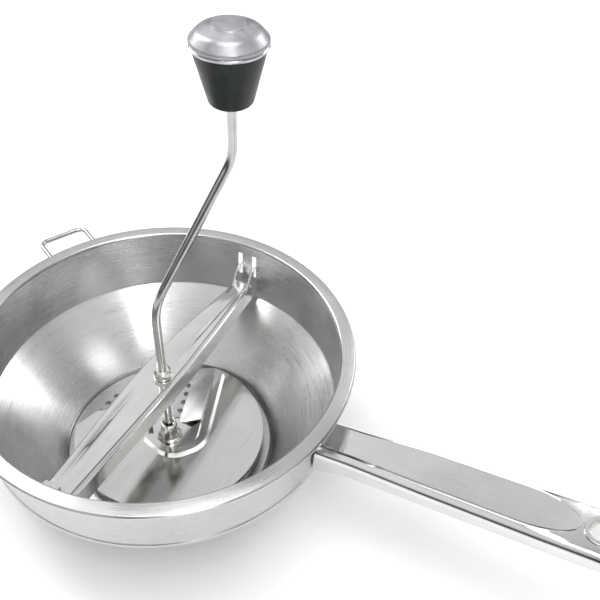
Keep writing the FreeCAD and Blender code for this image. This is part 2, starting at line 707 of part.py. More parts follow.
def make_blade():
    """A raised plate with a sector open, a well round the hub, a ramp and a rib."""
    body = new_body("blade")
    plate = circle(new_sketch(body, "XY_Plane", lift="blade_level"), "blade_radius")
    pad(body, plate, "blade_sheet")
    mouth = chain(new_sketch(body, "XY_Plane"), BLADE_MOUTH, rounds={4: "mouth_round"})
    pocket(body, mouth, towards_normal=True)
    pocket(body, circle(new_sketch(body, "XY_Plane"), "well_radius - 1"), towards_normal=True)
    wall = circle(new_sketch(body, "XY_Plane", lift="well_level"), "well_radius")
    pad(body, wall, "blade_level + blade_sheet - well_level")
    well = circle(new_sketch(body, "XY_Plane", lift="well_level + blade_sheet"),
                  "well_radius - 1")
    pocket(body, well, towards_normal=True, length="blade_level")
    gate = chain(new_sketch(body, "XY_Plane", lift="well_level + blade_sheet"), WELL_GATE)
    pocket(body, gate, towards_normal=True, length="blade_level")
    ramp = chain(new_sketch(body, "YZ_Plane", lift="ramp_start"), [
        ("ramp_back - 1", "blade_level"), ("ramp_back - 1", "blade_level + blade_sheet"),
        ("ramp_back + 2", "blade_level + blade_sheet"),
        ("ramp_edge", "panel_top + wipe_gap + blade_sheet"),
        ("ramp_edge", "panel_top + wipe_gap"), ("ramp_back + 1.6", "blade_level"),
    ])
    pad(body, ramp, "blade_radius - ramp_start")
    rib_path = chain(new_sketch(body, "XY_Plane", lift="blade_level + blade_sheet"), RIB_RUN,
                     closed=False, rounds={1: "rib_round", 2: "rib_round"})
    rib_start = new_sketch(body, "YZ_Plane", lift="rib_end")
    chain(rib_start, [
        ("-rib_line - rib_foot", "blade_level + 0.4"),
        ("-rib_line + rib_foot", "blade_level + 0.4"),
        ("-rib_line + rib_crown", "blade_level + blade_sheet + rib_height"),
        ("-rib_line - rib_crown", "blade_level + blade_sheet + rib_height"),
    ])
    follow(body, rib_start, rib_path)
    rim = circle(circle(new_sketch(body, "XY_Plane"), "blade_radius"), "blade_radius + 20")
    pocket(body, rim, towards_normal=True)
    hub_hole = circle(new_sketch(body, "XY_Plane"), "spigot_radius")
    pocket(body, hub_hole, towards_normal=True)
    turn_about_z(body, "blade_angle")
    return body


def make_hub():
    """A tapered boss whose spigot goes down through the blade."""
    return turned("blade_hub", [
        ("rod_radius", "spigot_low"), ("spigot_radius", "spigot_low"),
        ("spigot_radius", "hub_base"), ("hub_foot", "hub_base"),
        ("hub_foot", "hub_base + 1.6"), ("hub_waist", "hub_base + 2.6"),
        ("hub_mouth", "hub_top"), ("socket_radius", "hub_top"),
        ("socket_radius", "hub_top - socket_depth"), ("rod_radius", "hub_top - socket_depth"),
    ])


# --------------------------------------------------------------------- knob
def on_knob_axis(body):
    """Stand a knob piece on the crank's upright end."""
    angle = math.radians(size("crank_angle"))
    arm = size("crank_arm")
    body.Placement.Base = Vector(arm * math.cos(angle), arm * math.sin(angle), 0)
    return body


def make_knob():
    """Black body, sleeve, bright ring, domed cap and the washer on the rod's end."""
    body = turned("knob_body", [
        ("sleeve_radius", "knob_low"), ("knob_small", "knob_low"),
        ("knob_large", "knob_seam"), ("sleeve_radius", "knob_seam"),
    ], rounds={1: "knob_edge"})
    sleeve = ring("knob_sleeve", "sleeve_bore", "sleeve_radius", "knob_low", "knob_seam")
    bead = turned("knob_ring", [
        ("knob_large - 3", "bead_low"), ("bead_radius - 0.9", "bead_low"),
        ("bead_radius", "bead_low + 0.8"), ("bead_radius", "bead_high - 0.5"),
        ("bead_radius - 0.5", "bead_high"), ("knob_large - 3", "bead_high"),
    ])
    cap = turned("knob_cap", [
        ("0", "cap_top - cap_wall - cap_step"), ("cap_flat", "cap_top - cap_wall - cap_step"),
        ("cap_radius - 4", "cap_low + 3.6"), ("cap_radius - cap_wall - 0.6", "cap_low"),
        ("cap_radius", "cap_low"), ("cap_radius", "cap_low + 2.4"),
        ("cap_radius - 4", "cap_top - 2.6"), ("cap_flat", "cap_top - cap_step"),
        ("cap_flat - 0.4", "cap_top"), ("0", "cap_top"),
    ], rounds={5: "2", 6: "6"})
    washer = ring("knob_retainer", "rod_radius", "retainer_radius", "retainer_low",
                  "retainer_low + retainer_thick")
    return [on_knob_axis(piece) for piece in (body, sleeve, bead, cap, washer)]


# ----------------------------------------------------------------- assembly
node(make_bowl())
node(make_sieve_disc())
node(make_handle())
node(make_eyelet())
node(make_bracket())
node(make_hook("hook_left", "hook_angle"))
node(make_hook("hook_right", "-hook_angle"))
node(make_crossbar())
node(make_bush())
node(make_crank_rod())
node(make_stop_collar())
node(ring("upper_spring_washer", "washer_bore", "washer_radius", "upper_washer",
          "upper_washer + washer_thick"))
node(make_spring())
node(ring("lower_spring_washer", "washer_bore", "washer_radius", "lower_washer",
          "lower_washer + washer_thick"))
node(make_clip())
node(make_blade())
node(make_hub())
node(ring("hub_swage_ring", "spigot_radius", "ring_radius", "ring_low",
          "well_level"))
for piece in make_knob():
    node(piece)
doc.recompute()

# ------------------------------------------------------------------- export
faults = [item.Name for item in doc.Objects if {"Invalid", "Error"} & set(item.State)]
if faults:
    raise RuntimeError(f"objects that failed: {faults}")
os.makedirs("parts", exist_ok=True)
for item in nodes:
    shape = item.Shape
    if shape.isNull() or not shape.isValid() or not shape.Solids:
        raise RuntimeError(f"{item.Label} has no valid solid")
    shape.exportStep(f"parts/{item.Label}.step")
    print(item.Label, len(shape.Solids), round(shape.Volume, 1), shape.BoundBox)
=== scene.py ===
# %% [markdown]
# # A hand-cranked rotary food mill
#
# This lesson dresses a finished CAD model of a kitchen food mill: a pressed stainless
# bowl, a sieve, a blade turned by a crank, and a long handle. The CAD model says where
# everything is. Here each piece gets the rounded edges, pressed ribs and metal finishes
# that make it look real. Blender works in metres, so `mm` turns millimetres into metres.

# %% Load the CAD frame
import bmesh
import bpy
import math

from mathutils import Matrix, Vector


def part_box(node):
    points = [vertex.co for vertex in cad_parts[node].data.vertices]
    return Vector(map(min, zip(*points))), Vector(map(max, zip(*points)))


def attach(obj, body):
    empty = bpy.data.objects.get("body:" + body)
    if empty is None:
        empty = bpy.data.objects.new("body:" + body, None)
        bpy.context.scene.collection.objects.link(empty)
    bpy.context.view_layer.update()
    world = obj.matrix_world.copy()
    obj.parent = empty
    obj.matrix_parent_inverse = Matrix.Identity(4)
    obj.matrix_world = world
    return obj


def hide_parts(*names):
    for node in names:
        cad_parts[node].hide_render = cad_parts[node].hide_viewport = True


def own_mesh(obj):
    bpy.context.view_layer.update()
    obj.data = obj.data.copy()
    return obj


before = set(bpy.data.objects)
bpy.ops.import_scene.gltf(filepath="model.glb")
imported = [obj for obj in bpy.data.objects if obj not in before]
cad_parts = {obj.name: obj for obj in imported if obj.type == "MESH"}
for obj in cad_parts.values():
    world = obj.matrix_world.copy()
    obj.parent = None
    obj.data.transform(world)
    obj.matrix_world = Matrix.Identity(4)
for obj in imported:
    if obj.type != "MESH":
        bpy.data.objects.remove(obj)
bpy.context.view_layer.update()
mm = 0.001
turn_full = 2 * math.pi

# %% [markdown]
# ## The camera
#
# The mill is seen from above its near side, turned 25 degrees round from the crossbar
# and looking down by 43 degrees, through a mild telephoto. A camera can be aimed with a
# Track To constraint or by its own axes. Its axes are used here, because they also give
# the slight roll of a hand-held camera.

# %% Place the camera
scene = bpy.context.scene
turn, tilt, roll = math.radians(25.0), math.radians(42.6), math.radians(1.95)
rim_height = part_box("bowl")[1].z
right = Vector((math.cos(turn), math.sin(turn), 0))
look = Vector((-math.sin(turn) * math.cos(tilt), math.cos(turn) * math.cos(tilt), -math.sin(tilt)))
up = right.cross(look)
right, up = (
    right * math.cos(roll) + up * math.sin(roll),
    up * math.cos(roll) - right * math.sin(roll),
)
target = Vector((0, 0, rim_height)) + right * 0.0785 + up * 0.0261
eye = target - look * 0.4742
lens = bpy.data.cameras.new("camera")
lens.sensor_width = 36
lens.lens = 51
camera = bpy.data.objects.new("camera", lens)
camera.matrix_world = Matrix.Translation(eye) @ Matrix((right, up, -look)).transposed().to_4x4()
scene.collection.objects.link(camera)
scene.camera = camera
print("camera at", [round(c, 3) for c in eye])

# %% [markdown]
# ## Effects that several finishes share
#
# Sheet metal shows the path of the tool that finished it. On the bowl the brush went
# round the axis, so its lines are circles. On the bar and the handle it went lengthwise.
# Both are noise that is stretched along the brush's path, so one node group makes the
# lines from a vector and each finish gives it its own vector. A second group makes the
# soft smudges that hands and washing leave.

# %% Two helpers for node trees
def add(tree, kind, x=0, y=0, **settings):
    node = tree.nodes.new(kind)
    node.location = (x, y)
    for name, value in settings.items():
        setattr(node, name, value)
    return node


def new_group(name, inputs, outputs):
    group = bpy.data.node_groups.new(name, "ShaderNodeTree")
    for label, kind, value in inputs:
        socket = group.interface.new_socket(label, in_out="INPUT", socket_type=kind)
        if value is not None:
            socket.default_value = value
    for label, kind in outputs:
        group.interface.new_socket(label, in_out="OUTPUT", socket_type=kind)
    return group, add(group, "NodeGroupInput", -800), add(group, "NodeGroupOutput", 600)


# %% The brush-line group
brush_lines, start, end = new_group(
    "brush_lines",
    [("Vector", "NodeSocketVector", None), ("Fineness", "NodeSocketFloat", 900.0)],
    [("Lines", "NodeSocketFloat"), ("Scratches", "NodeSocketFloat")],
)
links = brush_lines.links
fine = add(brush_lines, "ShaderNodeTexNoise", -400, 100)
fine.inputs["Detail"].default_value = 4
fine.inputs["Roughness"].default_value = 0.65
links.new(start.outputs["Vector"], fine.inputs["Vector"])
links.new(start.outputs["Fineness"], fine.inputs["Scale"])
coarse = add(brush_lines, "ShaderNodeTexNoise", -400, -200)
coarse.inputs["Detail"].default_value = 2
quarter = add(brush_lines, "ShaderNodeMath", -600, -200, operation="MULTIPLY")
quarter.inputs[1].default_value = 0.28
links.new(start.outputs["Fineness"], quarter.inputs[0])
links.new(quarter.outputs[0], coarse.inputs["Scale"])
links.new(start.outputs["Vector"], coarse.inputs["Vector"])
scratch = add(brush_lines, "ShaderNodeMapRange", -100, -200)
scratch.inputs["From Min"].default_value = 0.60
scratch.inputs["From Max"].default_value = 0.72
links.new(coarse.outputs["Fac"], scratch.inputs["Value"])
links.new(fine.outputs["Fac"], end.inputs["Lines"])
links.new(scratch.outputs["Result"], end.inputs["Scratches"])

# %% The smudge group
smudges, start, end = new_group(
    "smudges",
    [("Vector", "NodeSocketVector", None), ("Size", "NodeSocketFloat", 30.0)],
    [("Smudge", "NodeSocketFloat")],
)
links = smudges.links
cloud = add(smudges, "ShaderNodeTexNoise", -400)
cloud.inputs["Detail"].default_value = 5
cloud.inputs["Distortion"].default_value = 0.6
links.new(start.outputs["Vector"], cloud.inputs["Vector"])
links.new(start.outputs["Size"], cloud.inputs["Scale"])
spread = add(smudges, "ShaderNodeMapRange", -100)
spread.inputs["From Min"].default_value = 0.35
spread.inputs["From Max"].default_value = 0.65
links.new(cloud.outputs["Fac"], spread.inputs["Value"])
links.new(spread.outputs["Result"], end.inputs["Smudge"])
print("groups:", [group.name for group in bpy.data.node_groups])

# %% [markdown]
# ## Metal finishes
#
# Every metal here is a Principled shader with full Metallic. The finishes differ in how
# dark the metal is, how blurred its reflections are and which way the brush ran. The
# brush lines move the roughness and the bump a little, and the smudges move the
# roughness and the colour over larger patches.

# %% One function makes each metal
def metal(name, light, dark, rough, rough_change, brush, fineness, bump=0.15, smudge=30.0,
          anisotropy=0.0):
    """brush is 'round' for circles about the Z axis, or the stretch along X, Y and Z."""
    material = bpy.data.materials.new(name)
    material.use_nodes = True
    tree = material.node_tree
    shader = tree.nodes["Principled BSDF"]
    shader.inputs["Metallic"].default_value = 1
    place = add(tree, "ShaderNodeTexCoord", -1400)
    stretch = add(tree, "ShaderNodeMapping", -900)
    if brush == "round":
        apart = add(tree, "ShaderNodeSeparateXYZ", -1300, 200)
        tree.links.new(place.outputs["Object"], apart.inputs[0])
        across = add(tree, "ShaderNodeCombineXYZ", -1200, 300)
        tree.links.new(apart.outputs["X"], across.inputs["X"])
        tree.links.new(apart.outputs["Y"], across.inputs["Y"])
        radius = add(tree, "ShaderNodeVectorMath", -1100, 300, operation="LENGTH")
        tree.links.new(across.outputs[0], radius.inputs[0])
        path = add(tree, "ShaderNodeCombineXYZ", -1000, 100)
        tree.links.new(radius.outputs["Value"], path.inputs["X"])
        tree.links.new(apart.outputs["Z"], path.inputs["Y"])
        tree.links.new(apart.outputs["X"], path.inputs["Z"])
        tree.links.new(path.outputs[0], stretch.inputs["Vector"])
        stretch.inputs["Scale"].default_value = (1, 1, 0.03)
    else:
        tree.links.new(place.outputs["Object"], stretch.inputs["Vector"])
        stretch.inputs["Scale"].default_value = brush
    lines = add(tree, "ShaderNodeGroup", -700, 100, node_tree=brush_lines)
    lines.inputs["Fineness"].default_value = fineness
    tree.links.new(stretch.outputs[0], lines.inputs["Vector"])
    marks = add(tree, "ShaderNodeGroup", -700, -200, node_tree=smudges)
    marks.inputs["Size"].default_value = smudge
    tree.links.new(place.outputs["Object"], marks.inputs["Vector"])
    blend = add(tree, "ShaderNodeMath", -450, 0, operation="MULTIPLY_ADD")
    blend.inputs[1].default_value = 0.35
    tree.links.new(marks.outputs["Smudge"], blend.inputs[0])
    tree.links.new(lines.outputs["Lines"], blend.inputs[2])
    colour = add(tree, "ShaderNodeMix", -200, 200, data_type="RGBA")
    colour.inputs["A"].default_value = (*dark, 1)
    colour.inputs["B"].default_value = (*light, 1)
    tree.links.new(blend.outputs[0], colour.inputs["Factor"])
    tree.links.new(colour.outputs["Result"], shader.inputs["Base Color"])
    haze = add(tree, "ShaderNodeMapRange", -200, -100)
    haze.inputs["From Min"].default_value = 0.3
    haze.inputs["From Max"].default_value = 1.0
    haze.inputs["To Min"].default_value = rough
    haze.inputs["To Max"].default_value = rough + rough_change
    tree.links.new(blend.outputs[0], haze.inputs["Value"])
    tree.links.new(haze.outputs["Result"], shader.inputs["Roughness"])
    dents = add(tree, "ShaderNodeBump", -200, -350)
    dents.inputs["Strength"].default_value = bump
    dents.inputs["Distance"].default_value = 0.02 * mm
    tree.links.new(lines.outputs["Lines"], dents.inputs["Height"])
    tree.links.new(dents.outputs["Normal"], shader.inputs["Normal"])
    if anisotropy:
        shader.inputs["Anisotropic"].default_value = anisotropy
        shader.inputs["Anisotropic Rotation"].default_value = 0.25
        around = add(tree, "ShaderNodeTangent", -200, -600, direction_type="RADIAL", axis="Z")
        tree.links.new(around.outputs["Tangent"], shader.inputs["Tangent"])
    return material


# %% The mill's seven metals
brushed_steel = metal("brushed_steel", (0.63, 0.63, 0.63), (0.47, 0.47, 0.47), 0.20, 0.14,
                      "round", 1900, bump=0.28, smudge=18, anisotropy=0.75)
polished_steel = metal("polished_steel", (0.74, 0.74, 0.73), (0.58, 0.58, 0.57), 0.07, 0.10,
                       (1, 0.04, 1), 900, bump=0.12)
handle_steel = metal("handle_steel", (0.74, 0.74, 0.73), (0.60, 0.60, 0.59), 0.08, 0.10,
                     (0.04, 1, 1), 900, bump=0.12)
wire_steel = metal("wire_steel", (0.55, 0.55, 0.54), (0.34, 0.34, 0.33), 0.14, 0.12,
                   (1, 1, 0.05), 1500, bump=0.2, smudge=90)
plated_hardware = metal("plated_hardware", (0.70, 0.69, 0.67), (0.48, 0.47, 0.46), 0.16, 0.16,
                        (1, 1, 1), 700, bump=0.2, smudge=150)
spring_steel = metal("spring_steel", (0.56, 0.55, 0.53), (0.36, 0.35, 0.34), 0.24, 0.14,
                     (1, 1, 1), 900, bump=0.2, smudge=200)
bright_ring = metal("bright_ring", (0.58, 0.58, 0.60), (0.44, 0.44, 0.46), 0.12, 0.08,
                    (1, 1, 1), 500, bump=0.05, smudge=100)
print("metals:", len(bpy.data.materials))

# %% [markdown]
# ## Plastic finishes
#
# The knob's body is black moulded plastic, a little glossy, with the fine pebble that a
# mould leaves. Its cap is silver-grey plastic. The black one has no Metallic. The silver
# one has a little over half, which stands for the metal flake in its pigment. Noise moves
# the roughness and the height of both.

# %% One function makes both plastics
def plastic(name, light, dark, rough, pebble, metallic=0.0, coat=0.0, gloss=0.5):
    material = bpy.data.materials.new(name)
    material.use_nodes = True
    tree = material.node_tree
    shader = tree.nodes["Principled BSDF"]
    shader.inputs["Metallic"].default_value = metallic
    shader.inputs["Specular IOR Level"].default_value = gloss
    shader.inputs["Coat Weight"].default_value = coat
    shader.inputs["Coat Roughness"].default_value = 0.12
    place = add(tree, "ShaderNodeTexCoord", -1000)
    marks = add(tree, "ShaderNodeGroup", -700, 0, node_tree=smudges)
    marks.inputs["Size"].default_value = 120
    tree.links.new(place.outputs["Object"], marks.inputs["Vector"])
    colour = add(tree, "ShaderNodeMix", -200, 200, data_type="RGBA")
    colour.inputs["A"].default_value = (*dark, 1)
    colour.inputs["B"].default_value = (*light, 1)
    tree.links.new(marks.outputs["Smudge"], colour.inputs["Factor"])
    tree.links.new(colour.outputs["Result"], shader.inputs["Base Color"])
    haze = add(tree, "ShaderNodeMapRange", -200, -100)
    haze.inputs["To Min"].default_value = rough
    haze.inputs["To Max"].default_value = rough + 0.12
    tree.links.new(marks.outputs["Smudge"], haze.inputs["Value"])
    tree.links.new(haze.outputs["Result"], shader.inputs["Roughness"])
    grain = add(tree, "ShaderNodeTexNoise", -500, -300)
    grain.inputs["Scale"].default_value = 2600
    tree.links.new(place.outputs["Object"], grain.inputs["Vector"])
    dents = add(tree, "ShaderNodeBump", -200, -350)
    dents.inputs["Strength"].default_value = pebble
    dents.inputs["Distance"].default_value = 0.03 * mm
    tree.links.new(grain.outputs["Fac"], dents.inputs["Height"])
    tree.links.new(dents.outputs["Normal"], shader.inputs["Normal"])
    return material


# %% The knob's two plastics
black_plastic = plastic("black_plastic", (0.012, 0.016, 0.018), (0.006, 0.008, 0.010), 0.30, 0.35,
                        gloss=0.30)
silver_plastic = plastic("silver_plastic", (0.40, 0.40, 0.42), (0.30, 0.30, 0.32), 0.30, 0.2,
                         metallic=0.6, coat=0.15)

# %% [markdown]
# ## Helpers for the shapes
#
# Most pieces are turned or bent from sheet or wire. `soft_corners` rounds an outline,
# `turned` spins it about an axis, and `tube` runs a round section along a path. `cut_out`
# takes one closed shape from another. A cut can leave a stray gap, so `finish` fills any
# it finds. `even_normals` keeps flat faces looking flat.

# %% Round the corners of an outline
def soft_corners(corners, radii, steps=5):
    """Corners as vectors; radii gives a radius for some of them. Open outline."""
    points = []
    for index, corner in enumerate(corners):
        radius = radii.get(index, 0)
        if not radius:
            points.append(corner.copy())
            continue
        before = (corners[index - 1] - corner).normalized()
        after = (corners[index + 1] - corner).normalized()
        half = before.angle(after) / 2
        centre = corner + (before + after).normalized() * (radius / math.sin(half))
        first = (corner + before * (radius / math.tan(half)) - centre).normalized()
        last = (corner + after * (radius / math.tan(half)) - centre).normalized()
        points += [centre + first.slerp(last, step / steps) * radius for step in range(steps + 1)]
    return points


def outline(pairs, radii=None, steps=5):
    """Pairs of radius and height in millimetres, as points in the XZ plane."""
    corners = [Vector((r * mm, 0, z * mm)) for r, z in pairs]
    radii = {index: radius * mm for index, radius in (radii or {}).items()}
    return soft_corners(corners, radii, steps)


# %% Spin a section about an upright axis
def sheet_section(points, thickness):
    """The closed section of a bent sheet, from the line of its inside face."""
    across = []
    for index, point in enumerate(points):
        run = points[min(index + 1, len(points) - 1)] - points[max(index - 1, 0)]
        across.append(Vector((run.z, 0, -run.x)).normalized())
    outside = [point + side * thickness for point, side in zip(points, across)]
    return points + outside[::-1] + [points[0]]


def turned(points, steps=96, centre=(0, 0, 0)):
    """Spin an outline about a vertical axis, from points given about that axis."""
    bm = bmesh.new()
    verts = [bm.verts.new(point) for point in points]
    edges = [bm.edges.new(pair) for pair in zip(verts, verts[1:])]
    bmesh.ops.spin(bm, geom=verts + edges, axis=(0, 0, 1), cent=(0, 0, 0), angle=turn_full,
                   steps=steps, use_merge=True)
    bmesh.ops.remove_doubles(bm, verts=bm.verts, dist=0.001 * mm)
    bmesh.ops.recalc_face_normals(bm, faces=bm.faces)
    bmesh.ops.translate(bm, verts=bm.verts, vec=Vector(centre))
    return bm


# %% Carry a round wire along a path
def tube(path, radius, sides=16):
    """A round wire through the points of a path, closed at both ends."""
    bm = bmesh.new()
    loops = []
    for index, point in enumerate(path):
        ahead = path[min(index + 1, len(path) - 1)] - path[max(index - 1, 0)]
        facing = ahead.to_track_quat("Z", "Y").to_matrix().to_4x4()
        made = bmesh.ops.create_circle(bm, segments=sides, radius=radius,
                                       cap_ends=index in (0, len(path) - 1),
                                       matrix=Matrix.Translation(point) @ facing)
        loops.append(list({edge for vert in made["verts"] for edge in vert.link_edges}))
    for lower, upper in zip(loops, loops[1:]):
        bmesh.ops.bridge_loops(bm, edges=lower + upper)
    bmesh.ops.recalc_face_normals(bm, faces=bm.faces)
    return bm


# %% Make a bmesh one piece of the mill
def finish(name, bm, body, node, material, sharp=50):
    if any(len(edge.link_faces) != 2 for edge in bm.edges):
        bmesh.ops.dissolve_degenerate(bm, edges=bm.edges, dist=0.0005 * mm)
        loose = [edge for edge in bm.edges if len(edge.link_faces) == 1]
        bmesh.ops.holes_fill(bm, edges=loose, sides=0)
    for face in bm.faces:
        face.smooth = True
    for edge in bm.edges:
        edge.smooth = len(edge.link_faces) == 2 and edge.calc_face_angle() < math.radians(sharp)
    unclosed = sum(1 for edge in bm.edges if len(edge.link_faces) != 2)
    mesh = bpy.data.meshes.new(name)
    bm.to_mesh(mesh)
    bm.free()
    mesh.materials.append(material)
    piece = bpy.data.objects.new(name, mesh)
    scene.collection.objects.link(piece)
    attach(piece, body)
    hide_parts(node)
    print(name, len(mesh.polygons), "faces,", unclosed, "edges not closed")
    return piece


def even_normals(piece):
    """Let wide flat faces keep their true direction beside narrow rounded edges."""
    weigh = piece.modifiers.new("even_normals", "WEIGHTED_NORMAL")
    weigh.keep_sharp = True
    weigh.weight = 80


# %% Cut one shape out of another
def cut_out(bm, cutter):
    """Take one closed bmesh away from another, with Blender's exact boolean."""
    pair = []
    for part in (bm, cutter):
        mesh = bpy.data.meshes.new("cut")
        part.to_mesh(mesh)
        part.free()
        item = bpy.data.objects.new("cut", mesh)
        scene.collection.objects.link(item)
        pair.append(item)
    boolean = pair[0].modifiers.new("cut", "BOOLEAN")
    boolean.operation = "DIFFERENCE"
    boolean.solver = "EXACT"
    boolean.object = pair[1]
    evaluated = pair[0].evaluated_get(bpy.context.evaluated_depsgraph_get())
    cut = bpy.data.meshes.new_from_object(evaluated)
    result = bmesh.new()
    result.from_mesh(cut)
    bpy.data.meshes.remove(cut)
    for item in pair:
        mesh = item.data
        bpy.data.objects.remove(item)
        bpy.data.meshes.remove(mesh)
    return result


# %% Upright blocks and joined shapes
def prism(points, low, high):
    """A closed upright block from a plan outline in millimetres."""
    bm = bmesh.new()
    face = bm.faces.new([bm.verts.new((x * mm, y * mm, low * mm)) for x, y in points])
    raised = bmesh.ops.extrude_face_region(bm, geom=[face])
    verts = [item for item in raised["geom"] if isinstance(item, bmesh.types.BMVert)]
    bmesh.ops.translate(bm, verts=verts, vec=(0, 0, (high - low) * mm))
    bmesh.ops.recalc_face_normals(bm, faces=bm.faces)
    return bm


def join(first, second):
    """Add one bmesh to another and return the first."""
    mesh = bpy.data.meshes.new("join")
    second.to_mesh(mesh)
    second.free()
    first.from_mesh(mesh)
    bpy.data.meshes.remove(mesh)
    return first


# %% [markdown]
# ## The bowl
#
# The real bowl is drawn from one disc of sheet: a ledge for the sieve, a cone, a small
# bead, an upright wall and a flat rim that curls under at its edge. A lathe outline spun
# about the axis gives all of it. The outline follows the inside face, `sheet_section`
# gives it the thickness of the sheet, and the crossbar's slots are cut through afterwards.

# %% Spin the bowl
bowl_sheet = 0.9
wall = 101.3
foot = wall - 1.3
rim = rim_height / mm
bowl_outline = outline([
    (55.5, 1.0), (62.3, 1.0), (62.3, 5.3), (98.7, 41.6), (foot + 0.6, 43.4), (foot + 0.6, 44.6),
    (foot, 45.4), (wall, rim - 1.9), (wall + 0.7, rim), (109.2, rim - 0.5), (110.0, rim - 1.4),
    (110.0, rim - 2.9), (108.3, rim - 3.6),
], {1: 0.8, 2: 1.6, 3: 1.6, 4: 0.5, 5: 0.4, 6: 0.6, 7: 2.0, 8: 1.2, 9: 0.5, 10: 0.6, 11: 0.6}, 4)
bowl = turned(sheet_section(bowl_outline, bowl_sheet * mm), steps=240)
low_and_wide = [min(v.co.z for v in bowl.verts), max(v.co.x for v in bowl.verts)]
print("bowl low and wide in mm:", [round(value / mm, 2) for value in low_and_wide])

# %% Cut the crossbar's slots through the wall
prong_places = (-5, 5)
half_slot = 1.5
slots = prism([(-5.5, -120), (5.5, -120), (5.5, -90), (-5.5, -90)], 73.0, 76.4)
for side in prong_places:
    left, right = side - half_slot, side + half_slot
    slots = join(slots, prism([(left, 90), (right, 90), (right, 104.5), (left, 104.5)], 60.0, 76.6))
bowl = cut_out(bowl, slots)
finish("bowl_sheet", bowl, "mill_body", "bowl", brushed_steel, 40)

# %% [markdown]
# ## Wires: the crank rod, the two hooks and the spring
#
# A bent wire is a circle carried along a path. The paths are straight runs with rounded
# corners, and the spring's is a helix.

# %% The crank rod
crank_turn = Matrix.Rotation(math.radians(63.5), 4, "Z")
arm = 53.0
rod_bends = ((0, 1.3), (0, 114.5), (arm, 188.5), (arm, 252.6))
rod_corners = [Vector((x * mm, 0, z * mm)) for x, z in rod_bends]
rod = tube(soft_corners(rod_corners, {1: 38 * mm, 2: 26 * mm}, 14), 2.5 * mm, 24)
bmesh.ops.transform(rod, matrix=crank_turn, verts=rod.verts)
finish("crank_rod_wire", rod, "crank", "crank_rod", wire_steel)

# %% The hooks
hook_angle = 152
hook_bends = ((101.2, -15), (133.5, -15), (133.5, 15), (101.2, 15))
for name, side in (("hook_left", 1), ("hook_right", -1)):
    hook_low, hook_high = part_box(name)
    level = (hook_low.z + hook_high.z) / 2
    corners = [Vector((x * mm, y * mm, level)) for x, y in hook_bends]
    wire = tube(soft_corners(corners, {1: 5 * mm, 2: 5 * mm}, 8), 1.5 * mm)
    swing = Matrix.Rotation(math.radians(hook_angle * side), 4, "Z")
    bmesh.ops.transform(wire, matrix=swing, verts=wire.verts)
    finish(name + "_wire", wire, "mill_body", name, wire_steel)

# %% The spring
spring_low, spring_high = 41.6, 55.8
pitch = 2.45
coil_radius = 4.2 * mm
wire_radius = 0.6 * mm
turns = (spring_high - spring_low) / pitch
count = int(turns * 24)
helix = []
for k in range(count + 1):
    angle = turn_full * turns * k / count
    rise = (spring_low + (spring_high - spring_low) * k / count) * mm
    helix.append(Vector((coil_radius * math.cos(angle), coil_radius * math.sin(angle), rise)))
spring = finish("coil_spring", tube(helix, wire_radius, 10), "mill_body", "compression_spring",
                spring_steel)
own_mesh(spring)

# %% [markdown]
# ## The knob
#
# Three turned pieces: a tapered black body, a bright ring and a domed cap with a stepped
# flat. The body shows the seam of its mould as a fine raised line down two sides.

# %% Turn the knob's body, with its mould seam
knob_low, knob_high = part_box("knob_body")
knob_axis = ((knob_low.x + knob_high.x) / 2, (knob_low.y + knob_high.y) / 2, 0)
grip = turned(outline([(3.6, 219.7), (10.8, 219.7), (17.9, 248.2), (3.6, 248.2)],
                      {1: 2.8, 2: 0.4}, 7), 96, knob_axis)
seam_line = ((11.3, 223.2), (14.5, 235.4), (17.75, 247.7))
for seam_turn in (-56, 124):
    seam = tube([Vector((r * mm, 0, z * mm)) for r, z in seam_line], 0.22 * mm, 8)
    bmesh.ops.transform(seam, matrix=Matrix.Translation(knob_axis)
                        @ Matrix.Rotation(math.radians(seam_turn), 4, "Z"), verts=seam.verts)
    grip = join(grip, seam)
finish("knob_grip", grip, "knob", "knob_body", black_plastic)

# %% Turn the bright ring and the cap
ring = turned(outline([(14.9, 248.3), (18.3, 248.3), (18.9, 249.1), (18.9, 249.8), (18.2, 250.3),
                       (14.9, 250.3), (14.9, 248.3)], {1: 0.3, 2: 0.4, 3: 0.4, 4: 0.3}, 3), 96, knob_axis)
finish("knob_bright_ring", ring, "knob", "knob_ring", bright_ring)
cap = turned(outline([(0, 257.1), (8.5, 257.1), (14.9, 254), (16.9, 250.4), (18.9, 250.4), (18.9, 252.4),
                      (14.9, 256.7), (8.6, 258.6), (8.3, 259.2), (0, 259.2)],
                     {4: 0.5, 5: 1.8, 6: 6.0, 7: 0.3, 8: 0.4}, 7), 96, knob_axis)
finish("knob_domed_cap", cap, "knob", "knob_cap", silver_plastic)

# %% [markdown]
# ## The crossbar
#
# The bar is a channel pressed from strip: flanges down both sides, a bead rolled along
# the right edge, and two long shallow grooves that stiffen the top. It is widest at the
# crank. Its section is drawn at many places along it, and `bridge_loops` skins them.

# %% The bar's sizes, and its section at any place
bar_top = 60.0
bar_tilt = math.radians(-2)
bar_sheet = 1.2
bar_depth = 12.0
bar_plan = [(-97, -9.0, 7.7), (-55, -12.1, 8.5), (-14, -14.6, 9.4), (14, -14.4, 9.5),
            (50, -11.2, 8.0), (75, -8.2, 6.6), (96, -5.6, 5.6)]


def edges_at(y):
    """Left and right edges of the bar, between the places where they are known."""
    for (y0, l0, r0), (y1, l1, r1) in zip(bar_plan, bar_plan[1:]):
        if y <= y1:
            part = (y - y0) / (y1 - y0)
            return l0 + (l1 - l0) * part, r0 + (r1 - r0) * part
    return bar_plan[-1][1:]


